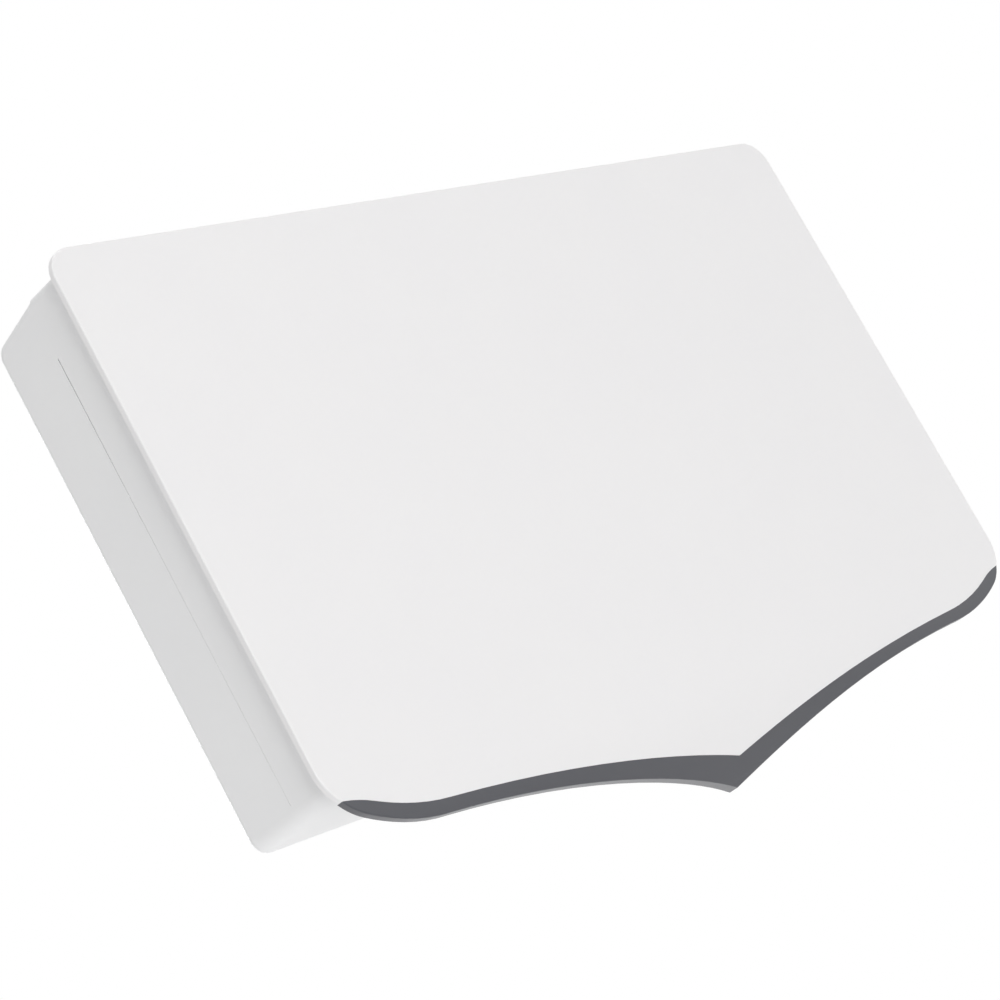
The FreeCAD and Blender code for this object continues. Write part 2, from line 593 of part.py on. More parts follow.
def channels(depth0):
    tree = feed_tree(0, CASE_MIDDLE, HORN_COLUMNS * HORN_PITCH / 4, HORN_ROWS * HORN_PITCH / 4,
                     True, CHANNEL_SPLITS, depth0, depth0 + CHANNEL_DEPTH)
    return tree[0].fuse(tree[1:]).removeSplitter()


def layer_holes(depth0, depth1):
    return rods(LAYER_POINTS, SCREW_RADIUS + FIT_GAP, depth0, depth1)


def windows(depth0, depth1):
    return [block(x - WINDOW_WIDTH / 2, x + WINDOW_WIDTH / 2, depth0, depth1, z - WINDOW_HEIGHT / 2,
                  z + WINDOW_HEIGHT / 2) for x, z in PROBE_POINTS]


def feed_layer_front():
    holes = layer_holes(HORN_BACK, FEED_FRONT_BACK) + [channels(HORN_BACK)]
    return array_block(HORN_BACK, FEED_FRONT_BACK).cut(holes)


def feed_layer_rear():
    holes = layer_holes(FEED_FRONT_BACK, FEED_REAR_BACK) + windows(FEED_FRONT_BACK, FEED_REAR_BACK)
    holes += rods(EAR_POINTS, SCREW_RADIUS, FEED_REAR_BACK - EAR_GRIP, FEED_REAR_BACK)
    return array_block(FEED_FRONT_BACK, FEED_REAR_BACK).cut(holes + [channels(FEED_FRONT_BACK)])


def feed_lid():
    holes = layer_holes(FEED_REAR_BACK, FEED_LID_BACK) + windows(FEED_REAR_BACK, FEED_LID_BACK)
    holes += rods(EAR_POINTS, SCREW_RADIUS + FIT_GAP, FEED_REAR_BACK, FEED_LID_BACK)
    return array_block(FEED_REAR_BACK, FEED_LID_BACK).cut(holes)


# Converter: die-cast tub with corner posts and ears, circuit board on stands, flat lid
def lnb_tub():
    half = LNB_HALF_WIDTH
    tub = block(-half, half, FEED_LID_BACK, LNB_BACK, LNB_BOTTOM, LNB_TOP)
    tub = tub.cut(block(LNB_WALL - half, half - LNB_WALL, LNB_FLOOR, LNB_BACK,
                        LNB_BOTTOM + LNB_WALL, LNB_TOP - LNB_WALL))
    extras = rods(LID_POINTS, BOSS_RADIUS, LNB_FLOOR - LNB_WALL / 2, LNB_BACK)
    extras += rods(STAND_POINTS, STAND_RADIUS, LNB_FLOOR - LNB_WALL / 2, BOARD_FRONT)
    ear_end = half + EAR_REACH
    extras += [block(-ear_end, ear_end, FEED_LID_BACK, LNB_FLOOR, z - EAR_HALF_HEIGHT, z + EAR_HALF_HEIGHT)
               for z in EAR_ROWS]
    holes = rods(LID_POINTS, SCREW_RADIUS, LNB_BACK - LID_GRIP, LNB_BACK) + windows(FEED_LID_BACK, LNB_FLOOR)
    holes += rods(EAR_POINTS, SCREW_RADIUS + FIT_GAP, FEED_LID_BACK, LNB_FLOOR)
    holes += [post(x, PORT_DEPTH, PORT_SPIGOT_RADIUS, LNB_BOTTOM, LNB_BOTTOM + LNB_WALL) for x in PORTS]
    return tub.fuse(extras).cut(holes)


def lnb_board():
    half = LNB_HALF_WIDTH - BOARD_INSET_X
    back = BOARD_FRONT + BOARD_THICK
    board = block(-half, half, BOARD_FRONT, back, LNB_BOTTOM + BOARD_INSET_Z, LNB_TOP - BOARD_INSET_Z)
    return board.cut(rods(PROBE_POINTS, PROBE_RADIUS, BOARD_FRONT, back))


def lnb_lid():
    end = LNB_BACK + LNB_LID_THICK
    lid = block(-LNB_HALF_WIDTH, LNB_HALF_WIDTH, LNB_BACK, end, LNB_BOTTOM, LNB_TOP)
    return lid.cut(rods(LID_POINTS, SCREW_RADIUS + FIT_GAP, LNB_BACK, end))


# Cable connectors: threaded barrels from the converter through the bottom wall, seal and nut outside
NUT_TOP = CASE_BOTTOM - PORT_SEAL_THICK
NUT_BOTTOM = NUT_TOP - PORT_NUT_THICK
PORT_INNER = LNB_BOTTOM + LNB_WALL


def port_body(x):
    body = post(x, PORT_DEPTH, PORT_THREAD_RADIUS, PORT_END, NUT_BOTTOM)
    shank = post(x, PORT_DEPTH, PORT_SHANK_RADIUS, NUT_BOTTOM, LNB_BOTTOM)
    flange = post(x, PORT_DEPTH, PORT_FLANGE_RADIUS, LNB_BOTTOM - PORT_FLANGE_THICK, LNB_BOTTOM)
    spigot = post(x, PORT_DEPTH, PORT_SPIGOT_RADIUS, LNB_BOTTOM, PORT_INNER)
    return body.fuse([shank, flange, spigot]).cut(post(x, PORT_DEPTH, PORT_CORE_RADIUS, PORT_END, PORT_INNER))


def port_insulator(x):
    start = PORT_END + PORT_CORE_RECESS
    core = post(x, PORT_DEPTH, PORT_CORE_RADIUS, start, PORT_INNER)
    return core.cut(post(x, PORT_DEPTH, PORT_CONTACT_RADIUS, start, start + PORT_CONTACT_DEPTH))


def port_seal(x):
    ring = post(x, PORT_DEPTH, PORT_SEAL_RADIUS, NUT_TOP, CASE_BOTTOM)
    return ring.cut(post(x, PORT_DEPTH, PORT_SHANK_RADIUS, NUT_TOP, CASE_BOTTOM))


def port_nut(x):
    r = PORT_NUT_FLATS / math.sqrt(3)
    turns = [math.radians(60 * i) for i in range(7)]
    corners = [at(x + r * math.cos(t), PORT_DEPTH + r * math.sin(t), NUT_BOTTOM) for t in turns]
    nut = Part.Face(Part.makePolygon(corners)).extrude(Vector(0, 0, PORT_NUT_THICK))
    return nut.cut(post(x, PORT_DEPTH, PORT_SHANK_RADIUS, NUT_BOTTOM, NUT_TOP))


# Rear mounting: steel plate inside the pad, threaded bushes flush with the pad's face
def mount_plate():
    plate = block(-PLATE_HALF_WIDTH, PLATE_HALF_WIDTH, PLATE_FRONT, REAR_INNER,
                  -PLATE_HALF_HEIGHT, PLATE_HALF_HEIGHT)
    return plate.cut(rods(MOUNT_POINTS, BUSH_RADIUS, PLATE_FRONT, REAR_INNER)
                     + rods(PLATE_POINTS, SCREW_RADIUS + FIT_GAP, PLATE_FRONT, REAR_INNER))


def mount_bush(x, z):
    front = PLATE_FRONT - BUSH_FLANGE_THICK
    bush = rod(x, z, BUSH_RADIUS, front, MOUNT_PLANE).fuse(rod(x, z, BUSH_FLANGE_RADIUS, front, PLATE_FRONT))
    return bush.cut(rod(x, z, MOUNT_BORE_RADIUS, front, MOUNT_PLANE))


save("radome_cover", radome_cover())
save("chin_strip", chin_strip())
save("front_frame", front_frame())
save("rear_cover", rear_cover())
save("case_seal", case_ring(LIP_INSET, LIP_INSET + LIP_THICK, SEAL_FRONT, SEAL_BACK))
save("cover_screws", screws(COVER_POINTS, LEDGE_BACK, LEDGE_FRONT - COVER_GRIP))
save("case_screws", case_screws())
save("vent_plug", vent_plug())
save("horn_plate", horn_plate())
save("array_screws", screws(ARRAY_POINTS, FLANGE_BACK, LEDGE_BACK - ARRAY_GRIP))
save("feed_layer_front", feed_layer_front())
save("feed_layer_rear", feed_layer_rear())
save("feed_lid", feed_lid())
save("layer_screws", screws(LAYER_POINTS, FEED_LID_BACK, HORN_BACK - LAYER_GRIP))
save("lnb_tub", lnb_tub())
save("lnb_board", lnb_board())
save("lnb_probes", rods(PROBE_POINTS, PROBE_RADIUS, FEED_LID_BACK - PROBE_REACH, BOARD_FRONT + BOARD_THICK))
save("lnb_lid", lnb_lid())
save("lnb_lid_screws", screws(LID_POINTS, LNB_BACK + LNB_LID_THICK, LNB_BACK - LID_GRIP))
save("lnb_ear_screws", screws(EAR_POINTS, LNB_FLOOR, FEED_REAR_BACK - EAR_GRIP))
save("port_bodies", [port_body(x) for x in PORTS])
save("port_insulators", [port_insulator(x) for x in PORTS])
save("port_seals", [port_seal(x) for x in PORTS])
save("port_nuts", [port_nut(x) for x in PORTS])
save("mount_plate", mount_plate())
save("mount_bushes", [mount_bush(x, z) for x, z in MOUNT_POINTS])
save("plate_screws", screws(PLATE_POINTS, PLATE_FRONT, REAR_INNER + PLATE_GRIP))
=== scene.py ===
import bmesh
import bpy
import math
from mathutils import Matrix, Vector


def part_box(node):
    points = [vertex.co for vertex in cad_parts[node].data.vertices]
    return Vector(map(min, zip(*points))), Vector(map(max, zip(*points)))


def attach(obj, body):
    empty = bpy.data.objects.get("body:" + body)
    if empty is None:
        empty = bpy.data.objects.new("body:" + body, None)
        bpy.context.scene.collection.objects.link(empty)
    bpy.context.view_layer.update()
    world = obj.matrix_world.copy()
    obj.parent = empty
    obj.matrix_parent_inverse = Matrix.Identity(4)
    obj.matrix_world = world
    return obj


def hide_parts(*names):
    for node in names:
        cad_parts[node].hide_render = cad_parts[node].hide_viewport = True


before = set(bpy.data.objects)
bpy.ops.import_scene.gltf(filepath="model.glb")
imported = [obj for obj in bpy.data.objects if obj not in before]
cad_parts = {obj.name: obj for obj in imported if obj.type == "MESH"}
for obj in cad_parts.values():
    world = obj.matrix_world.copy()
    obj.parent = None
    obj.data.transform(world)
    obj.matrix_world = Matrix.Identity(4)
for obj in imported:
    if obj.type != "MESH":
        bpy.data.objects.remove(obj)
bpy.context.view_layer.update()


# Front frame: the white rim behind the front cover, which carries the horn plate and meets the
# rear cover at the parting joint. Injection-moulded ASA, an outdoor plastic, off-white, with the
# fine matt grain of a spark-eroded tool. The front cover is screwed to it from inside.
MM = 0.001
CASE_WHITE = "EFEFEF"
CASE_SHADE = "ECECED"
CASE_ROUGHNESS = (0.40, 0.48)
CASE_GRAIN = 0.9 * MM
CASE_GRAIN_DEPTH = 0.006 * MM
ASA_IOR = 1.5
FLOW_LENGTH = 60 * MM
FLOW_DETAIL = 2.0
GRAIN_DETAIL = 3.0
GRAIN_SPREAD = (0.3, 0.7)


def linear(hex_colour):
    parts = [int(hex_colour[i:i + 2], 16) / 255 for i in (0, 2, 4)]
    return [c / 12.92 if c <= 0.04045 else ((c + 0.055) / 1.055) ** 2.4 for c in parts] + [1.0]


def add_node(tree, kind, inputs, **settings):
    node = tree.nodes.new(kind)
    for name, value in settings.items():
        setattr(node, name, value)
    for name, value in inputs.items():
        if isinstance(value, bpy.types.NodeSocket):
            tree.links.new(value, node.inputs[name])
        else:
            node.inputs[name].default_value = value
    return node


def new_material(name):
    material = bpy.data.materials.new(name)
    material.use_nodes = True
    material.node_tree.nodes.clear()
    return material, material.node_tree


# Two close tints in soft patches, such as the melt's flow or the mottle of a casting, gloss that
# varies with a fine grain, and a shallow grain that only takes the edge off a reflection. A real
# grain is about 0.1 mm wide, too fine to show here, so grains are drawn several times as wide.
def grained_finish(name, light, shade, patch, roughness, grain, grain_depth, shader):
    material, tree = new_material(name)
    place = add_node(tree, "ShaderNodeTexCoord", {}).outputs["Object"]
    flow = add_node(tree, "ShaderNodeTexNoise", {"Vector": place, "Scale": 1 / patch, "Detail": FLOW_DETAIL})
    tint = add_node(tree, "ShaderNodeMix", {"Factor": flow.outputs["Fac"], "A": linear(light),
                                            "B": linear(shade)}, data_type="RGBA")
    pits = add_node(tree, "ShaderNodeTexNoise", {"Vector": place, "Scale": 1 / grain, "Detail": GRAIN_DETAIL})
    gloss = add_node(tree, "ShaderNodeMapRange", {"Value": pits.outputs["Fac"], "From Min": GRAIN_SPREAD[0],
                                                  "From Max": GRAIN_SPREAD[1], "To Min": roughness[0],
                                                  "To Max": roughness[1]})
    bump = add_node(tree, "ShaderNodeBump", {"Height": pits.outputs["Fac"], "Distance": grain_depth})
    surface = add_node(tree, "ShaderNodeBsdfPrincipled",
                       {"Base Color": tint.outputs["Result"], "Roughness": gloss.outputs["Result"],
                        "Normal": bump.outputs["Normal"], **shader})
    add_node(tree, "ShaderNodeOutputMaterial", {"Surface": surface.outputs["BSDF"]})
    return material


def finish_nodes(material, *names):
    for name in names:
        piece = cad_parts[name]
        piece.data.materials.clear()
        piece.data.materials.append(material)


case_plastic = grained_finish("moulded_asa_off_white", CASE_WHITE, CASE_SHADE, FLOW_LENGTH, CASE_ROUGHNESS,
                              CASE_GRAIN, CASE_GRAIN_DEPTH, {"IOR": ASA_IOR})
finish_nodes(case_plastic, "front_frame")


# Horn plate, feed layers and feed lid: the aperture and the channels that join its horns.
# Die-cast aluminium left bare, with the dull, faintly mottled skin that the die gives it.
CAST_LIGHT = "C6C7C9"
CAST_SHADE = "B3B4B7"
CAST_MOTTLE = 7 * MM
CAST_ROUGHNESS = (0.40, 0.56)
CAST_GRAIN = 0.7 * MM
CAST_GRAIN_DEPTH = 0.012 * MM

cast_metal = grained_finish("die_cast_aluminium", CAST_LIGHT, CAST_SHADE, CAST_MOTTLE, CAST_ROUGHNESS,
                            CAST_GRAIN, CAST_GRAIN_DEPTH, {"Metallic": 1.0})
finish_nodes(cast_metal, "horn_plate", "feed_layer_front", "feed_layer_rear", "feed_lid")


# Converter: a die-cast tub and lid, closed round a small circuit board. The board is glass-filled
# epoxy under green solder mask, with copper tracks that stand out a little through the mask.
MASK_GREEN = "14532D"
TRACK_GREEN = "26703F"
TRACK_SPACING = 1.6 * MM
TRACK_WIDTH = 0.256 * MM
TRACK_RUN = 6.4 * MM
TRACK_HEIGHT = 0.035 * MM
MASK_ROUGHNESS = 0.32

finish_nodes(cast_metal, "lnb_tub", "lnb_lid")

board_finish, tree = new_material("epoxy_board_green")
place = add_node(tree, "ShaderNodeTexCoord", {}).outputs["Object"]
flat = add_node(tree, "ShaderNodeMapping", {"Vector": place, "Rotation": (math.pi / 2, 0, 0)})
tracks = add_node(tree, "ShaderNodeTexBrick", {"Vector": flat.outputs["Vector"], "Scale": 1 / TRACK_SPACING,
                                               "Color1": linear(MASK_GREEN), "Color2": linear(MASK_GREEN),
                                               "Mortar": linear(TRACK_GREEN),
                                               "Mortar Size": TRACK_WIDTH / TRACK_SPACING,
                                               "Brick Width": TRACK_RUN / TRACK_SPACING, "Row Height": 1.0})
bump = add_node(tree, "ShaderNodeBump", {"Height": tracks.outputs["Fac"], "Distance": TRACK_HEIGHT})
surface = add_node(tree, "ShaderNodeBsdfPrincipled", {"Base Color": tracks.outputs["Color"],
                                                      "Normal": bump.outputs["Normal"],
                                                      "Roughness": MASK_ROUGHNESS})
add_node(tree, "ShaderNodeOutputMaterial", {"Surface": surface.outputs["BSDF"]})
finish_nodes(board_finish, "lnb_board")


# Probes: two pins that pick the signal out of the feed windows and bring it to the board.
# Turned brass, with the fine rings that the tool's feed leaves round the pin.
BRASS_LIGHT = "D9B56A"
BRASS_SHADE = "C79F55"
BRASS_ROUGHNESS = (0.22, 0.34)
TURNING_FEED = 0.25 * MM
TURNING_DEPTH = 0.004 * MM
RING_WANDER = 0.6
RING_DETAIL = 1.0
WAVE_REPEAT = math.pi / 10


# Rings round a turned piece, one for each feed of the tool; a wave of scale 1 repeats every pi / 10
def turned_finish(name, light, shade, roughness, rings_along):
    material, tree = new_material(name)
    place = add_node(tree, "ShaderNodeTexCoord", {}).outputs["Object"]
    rings = add_node(tree, "ShaderNodeTexWave", {"Vector": place, "Scale": WAVE_REPEAT / TURNING_FEED,
                                                 "Distortion": RING_WANDER, "Detail": RING_DETAIL},
                     bands_direction=rings_along)
    tint = add_node(tree, "ShaderNodeMix", {"Factor": rings.outputs["Fac"], "A": linear(light),
                                            "B": linear(shade)}, data_type="RGBA")
    gloss = add_node(tree, "ShaderNodeMapRange", {"Value": rings.outputs["Fac"], "To Min": roughness[0],
                                                  "To Max": roughness[1]})
    bump = add_node(tree, "ShaderNodeBump", {"Height": rings.outputs["Fac"], "Distance": TURNING_DEPTH})
    surface = add_node(tree, "ShaderNodeBsdfPrincipled",
                       {"Base Color": tint.outputs["Result"], "Roughness": gloss.outputs["Result"],
                        "Normal": bump.outputs["Normal"], "Metallic": 1.0})
    add_node(tree, "ShaderNodeOutputMaterial", {"Surface": surface.outputs["BSDF"]})
    return material


finish_nodes(turned_finish("turned_brass", BRASS_LIGHT, BRASS_SHADE, BRASS_ROUGHNESS, "Y"), "lnb_probes")


# Screws: pan heads with a cross recess and a thread-forming shank, which hold the cover, the case,
# the layers, the converter and the mounting plate. Rolled steel, zinc-plated, with a cool faint lustre.
ZINC_LIGHT = "BFC1C4"
ZINC_SHADE = "AEB1B6"
ZINC_SPANGLE = 1.4 * MM
ZINC_ROUGHNESS = (0.26, 0.38)
ZINC_GRAIN = 0.3 * MM
ZINC_GRAIN_DEPTH = 0.003 * MM
PAN_HEAD = ((0.0, 2.2), (1.3, 2.14), (2.3, 1.85), (2.8, 1.35), (3.0, 0.8), (3.0, 0.15), (2.85, 0.0))
SHANK_RADIUS = 1.5
SHANK_PITCH = 1.25
SHANK_THREAD_DEPTH = 0.32
SHANK_POINT = 1.2
SHANK_POINT_RADIUS = 0.8
RINGS_PER_PITCH = 5
THREAD_CATCH = 0.05
SCREW_SIDES = 18
RECESS_ARM = 1.75
RECESS_HALF_WIDTH = 0.42
RECESS_DEPTH = 1.25
RECESS_TAPER = 0.6
TOUCHING = 1e-6
HEAD_REACH = 2.5 * MM
SMOOTH_BELOW = math.radians(38)
SCREW_GROUPS = ("cover_screws", "case_screws", "array_screws", "layer_screws", "lnb_lid_screws",
                "lnb_ear_screws", "plate_screws")


# A turned shape about +Z from (radius, height) pairs in millimetres; closed joins the last to the first
def turned(profile, sides, closed=False):
    work = bmesh.new()
    rings = []
    for radius, height in profile:
        if radius == 0:
            rings.append([work.verts.new((0, 0, height * MM))] * sides)
        else:
            around = [2 * math.pi * i / sides for i in range(sides)]
            rings.append([work.verts.new((radius * math.cos(a) * MM, radius * math.sin(a) * MM, height * MM))
                          for a in around])
    pairs = list(zip(rings, rings[1:])) + ([(rings[-1], rings[0])] if closed else [])
    for low, high in pairs:
        for i in range(sides):
            j = (i + 1) % sides
            work.faces.new(dict.fromkeys((low[i], low[j], high[j], high[i])))
    return closed_mesh(work, "turned")


def closed_mesh(work, name):
    bmesh.ops.recalc_face_normals(work, faces=work.faces)
    mesh = bpy.data.meshes.new(name)
    work.to_mesh(mesh)
    work.free()
    return mesh


# Heights of the rings that a thread needs, from start to end
def thread_rings(radius, start, end, pitch):
    count = max(2, round(abs(end - start) / pitch * RINGS_PER_PITCH))
    return [(radius, start + (end - start) * i / count) for i in range(count + 1)]


def new_tree(name, sockets):
    tree = bpy.data.node_groups.new(name, "GeometryNodeTree")
    tree.interface.new_socket("Geometry", in_out="OUTPUT", socket_type="NodeSocketGeometry")
    for label, kind in (("Geometry", "Geometry"),) + sockets + (("Material", "Material"),):
        tree.interface.new_socket(label, in_out="INPUT", socket_type="NodeSocket" + kind)
    return tree, add_node(tree, "NodeGroupInput", {}).outputs


def end_tree(tree, geometry, material):
    real = add_node(tree, "GeometryNodeRealizeInstances", {"Geometry": geometry})
    coated = add_node(tree, "GeometryNodeSetMaterial", {"Geometry": real.outputs["Geometry"],
                                                        "Material": material})
    add_node(tree, "NodeGroupOutput", {"Geometry": coated.outputs["Geometry"]})


def new_object(name, data):
    thing = bpy.data.objects.new(name, data)
    bpy.context.scene.collection.objects.link(thing)
    return thing


# Runs a node tree on a mesh and returns the result as a plain mesh
def grown(mesh, tree, values):
    holder = new_object("holder", mesh)
    modifier = holder.modifiers.new("nodes", "NODES")
    modifier.node_group = tree
    for socket in tree.interface.items_tree:
        if socket.in_out == "INPUT" and socket.name in values:
            modifier[socket.identifier] = values[socket.name]
    shown = holder.evaluated_get(bpy.context.evaluated_depsgraph_get())
    result = bpy.data.meshes.new_from_object(shown)
    holder.modifiers.remove(modifier)
    bpy.data.objects.remove(holder)
    return result


# Thread rule: points between two radii move in or out by a ridge that climbs one pitch a turn. It
# rises over half a pitch and falls over the other half, and fades out at both ends of the thread.
thread_tree, size = new_tree("thread", (("Pitch", "Float"), ("Depth", "Float"), ("Radius From", "Float"),
                                        ("Radius To", "Float"), ("Start", "Float"), ("End", "Float")))
place = add_node(thread_tree, "GeometryNodeInputPosition", {}).outputs["Position"]
along = add_node(thread_tree, "ShaderNodeSeparateXYZ", {"Vector": place}).outputs
across = add_node(thread_tree, "ShaderNodeVectorMath", {0: place, 1: (1, 1, 0)}, operation="MULTIPLY")
reach = add_node(thread_tree, "ShaderNodeVectorMath", {0: across.outputs["Vector"]}, operation="LENGTH")
outward = add_node(thread_tree, "ShaderNodeVectorMath", {0: across.outputs["Vector"]}, operation="NORMALIZE")
angle = add_node(thread_tree, "ShaderNodeMath", {0: along["Y"], 1: along["X"]}, operation="ARCTAN2")
turn = add_node(thread_tree, "ShaderNodeMath", {0: angle.outputs["Value"], 1: 2 * math.pi},
                operation="DIVIDE")
climb = add_node(thread_tree, "ShaderNodeMath", {0: along["Z"], 1: size["Pitch"]}, operation="DIVIDE")
phase = add_node(thread_tree, "ShaderNodeMath", {0: climb.outputs["Value"], 1: turn.outputs["Value"]},
                 operation="SUBTRACT")
ridge = add_node(thread_tree, "ShaderNodeMath", {0: phase.outputs["Value"], 1: 0.5}, operation="PINGPONG")
full = add_node(thread_tree, "ShaderNodeMath", {0: size["Depth"], 1: 2.0}, operation="MULTIPLY")
height = add_node(thread_tree, "ShaderNodeMath", {0: ridge.outputs["Value"], 1: full.outputs["Value"]},
                  operation="MULTIPLY")
for edge, sign in (("Start", "ADD"), ("End", "SUBTRACT")):
    inner = add_node(thread_tree, "ShaderNodeMath", {0: size[edge], 1: size["Pitch"]}, operation=sign)
    fade = add_node(thread_tree, "ShaderNodeMapRange", {"Value": along["Z"], "From Min": size[edge],
                                                        "From Max": inner.outputs["Value"]})
    height = add_node(thread_tree, "ShaderNodeMath", {0: height.outputs["Value"], 1: fade.outputs["Result"]},
                      operation="MULTIPLY")
above = add_node(thread_tree, "ShaderNodeMath", {0: reach.outputs["Value"], 1: size["Radius From"]},
                 operation="GREATER_THAN")
below = add_node(thread_tree, "ShaderNodeMath", {0: reach.outputs["Value"], 1: size["Radius To"]},
                 operation="LESS_THAN")
cut = add_node(thread_tree, "ShaderNodeMath", {0: above.outputs["Value"], 1: below.outputs["Value"]},
               operation="MULTIPLY")
offset = add_node(thread_tree, "ShaderNodeVectorMath", {0: outward.outputs["Vector"],
                                                        "Scale": height.outputs["Value"]}, operation="SCALE")
moved = add_node(thread_tree, "GeometryNodeSetPosition", {"Geometry": size["Geometry"],
                                                          "Selection": cut.outputs["Value"],
                                                          "Offset": offset.outputs["Vector"]})
end_tree(thread_tree, moved.outputs["Geometry"], size["Material"])

# Set rule: one finished shape at every point of a mesh
set_tree, size = new_tree("fixing_set", (("Shape", "Object"),))
shape = add_node(set_tree, "GeometryNodeObjectInfo", {"Object": size["Shape"]})
spread = add_node(set_tree, "GeometryNodeInstanceOnPoints", {"Points": size["Geometry"],
                                                             "Instance": shape.outputs["Geometry"]})
end_tree(set_tree, spread.outputs["Instances"], size["Material"])


def threaded(mesh, radius, pitch, depth, start, end, material):
    return grown(mesh, thread_tree, {"Pitch": pitch * MM, "Depth": depth * MM,
                                     "Radius From": (radius - THREAD_CATCH) * MM,
                                     "Radius To": (radius + THREAD_CATCH) * MM,
                                     "Start": start * MM, "End": end * MM, "Material": material})


def add_piece(name, mesh, slot, *nodes):
    mesh.shade_smooth()
    mesh.set_sharp_from_angle(angle=SMOOTH_BELOW)
    piece = new_object(name, mesh)
    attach(piece, "root")
    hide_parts(*nodes)
    return piece


def set_of(name, mesh, points, material, slot, node):
    shape = new_object("shape", mesh)
    spots = bpy.data.meshes.new("spots")
    spots.from_pydata(points, [], [])
    result = grown(spots, set_tree, {"Shape": shape, "Material": material})
    bpy.data.objects.remove(shape)
    return add_piece(name, result, slot, node)


# Connected pieces of a node, as lists of points, from a merged copy of its mesh
def node_pieces(name):
    work = bmesh.new()
    work.from_mesh(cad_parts[name].data)
    bmesh.ops.remove_doubles(work, verts=work.verts, dist=TOUCHING)
    waiting = set(work.verts)
    pieces = []
    for first in work.verts:
        if first not in waiting:
            continue
        waiting.remove(first)
        reached = [first]
        for vert in reached:
            for other in [e.other_vert(vert) for e in vert.link_edges]:
                if other in waiting:
                    waiting.remove(other)
                    reached.append(other)
        pieces.append([v.co.copy() for v in reached])
    work.free()
    return pieces


def middle(values):
    values = list(values)
    return (min(values) + max(values)) / 2


# Seat of each screw of a group, the way its heads face (1 is +Y) and how far its shank reaches
def screw_seats(name):
    seats = []
    for points in node_pieces(name):
        x = middle(p.x for p in points)
        z = middle(p.z for p in points)
        ys = [p.y for p in points]
        head = [p.y for p in points if math.hypot(p.x - x, p.z - z) > HEAD_REACH]
        facing = 1 if max(head) > max(ys) - TOUCHING else -1
        seat = min(head) if facing == 1 else max(head)
        seats.append((x, seat, z))
        shank = (seat - min(ys)) / MM if facing == 1 else (max(ys) - seat) / MM
    return seats, facing, shank


# The tool that cuts the cross recess: it tapers to the recess's floor and stands out over the head
def cross_cutter():
    a, w = RECESS_ARM, RECESS_HALF_WIDTH
    outline = ((a, -w), (a, w), (w, w), (w, a), (-w, a), (-w, w), (-a, w), (-a, -w), (-w, -w), (-w, -a),
               (w, -a), (w, -w))
    top = PAN_HEAD[0][1] + RECESS_DEPTH
    floor = PAN_HEAD[0][1] - RECESS_DEPTH
    work = bmesh.new()
    rings = [[work.verts.new((x * s * MM, y * s * MM, z * MM)) for x, y in outline]
             for s, z in ((RECESS_TAPER, floor), (2 - RECESS_TAPER, top))]
    work.faces.new(rings[0])
    work.faces.new(rings[1])
    for i in range(len(outline)):
        j = (i + 1) % len(outline)
        work.faces.new((rings[0][i], rings[0][j], rings[1][j], rings[1][i]))
    return closed_mesh(work, "cross_recess")


def pan_head_screw(shank, material):
    thread_end = SHANK_POINT - shank
    profile = list(PAN_HEAD) + thread_rings(SHANK_RADIUS, 0.0, thread_end, SHANK_PITCH)
    profile += [(SHANK_POINT_RADIUS, -shank), (0.0, -shank)]
    body = new_object("body", turned(profile, SCREW_SIDES))
    tool = new_object("tool", cross_cutter())
    recess = body.modifiers.new("recess", "BOOLEAN")
    recess.operation = "DIFFERENCE"
    recess.object = tool
    cut = bpy.data.meshes.new_from_object(body.evaluated_get(bpy.context.evaluated_depsgraph_get()))
    bpy.data.objects.remove(body)
    bpy.data.objects.remove(tool)
    return threaded(cut, SHANK_RADIUS, SHANK_PITCH, -SHANK_THREAD_DEPTH, thread_end, 0.0, material)


zinc = grained_finish("zinc_plated_steel", ZINC_LIGHT, ZINC_SHADE, ZINC_SPANGLE, ZINC_ROUGHNESS, ZINC_GRAIN,
                      ZINC_GRAIN_DEPTH, {"Metallic": 1.0})
for group in SCREW_GROUPS:
    seats, facing, shank = screw_seats(group)
    screw = pan_head_screw(shank, zinc)
    screw.transform(Matrix.Rotation(-facing * math.pi / 2, 4, "X"))
    set_of(group + "_set", screw, seats, zinc, "steel_screw", group)


# Mounting plate and bushes: four M6 bushes pressed into a steel plate behind the rear pad, flush
# with its face. Turned and tapped steel, zinc-plated together with the punched plate.
BUSH_RADIUS = 6.0
BUSH_BORE = 2.5
BUSH_FLANGE_RADIUS = 9.0
BUSH_FLANGE = 2.0
BUSH_CHAMFER = 0.35
BUSH_LEAD = 0.8
M6_PITCH = 1.0
M6_DEPTH = 0.54
BUSH_SIDES = 40

finish_nodes(zinc, "mount_plate")

low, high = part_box("mount_bushes")
length = (high.y - low.y) / MM
bore = thread_rings(BUSH_BORE, -length + BUSH_LEAD, -BUSH_LEAD, M6_PITCH)
bush = turned([(BUSH_BORE + BUSH_LEAD, -length)] + bore
              + [(BUSH_BORE + BUSH_LEAD, 0), (BUSH_RADIUS - BUSH_CHAMFER, 0), (BUSH_RADIUS, -BUSH_CHAMFER),
                 (BUSH_RADIUS, BUSH_FLANGE - length),
                 (BUSH_FLANGE_RADIUS - BUSH_CHAMFER, BUSH_FLANGE - length),
                 (BUSH_FLANGE_RADIUS, BUSH_FLANGE - BUSH_CHAMFER - length),
                 (BUSH_FLANGE_RADIUS, BUSH_CHAMFER - length), (BUSH_FLANGE_RADIUS - BUSH_CHAMFER, -length)],
              BUSH_SIDES, closed=True)
bush = threaded(bush, BUSH_BORE, M6_PITCH, M6_DEPTH, -length, 0.0, zinc)
bush.transform(Matrix.Rotation(-math.pi / 2, 4, "X"))
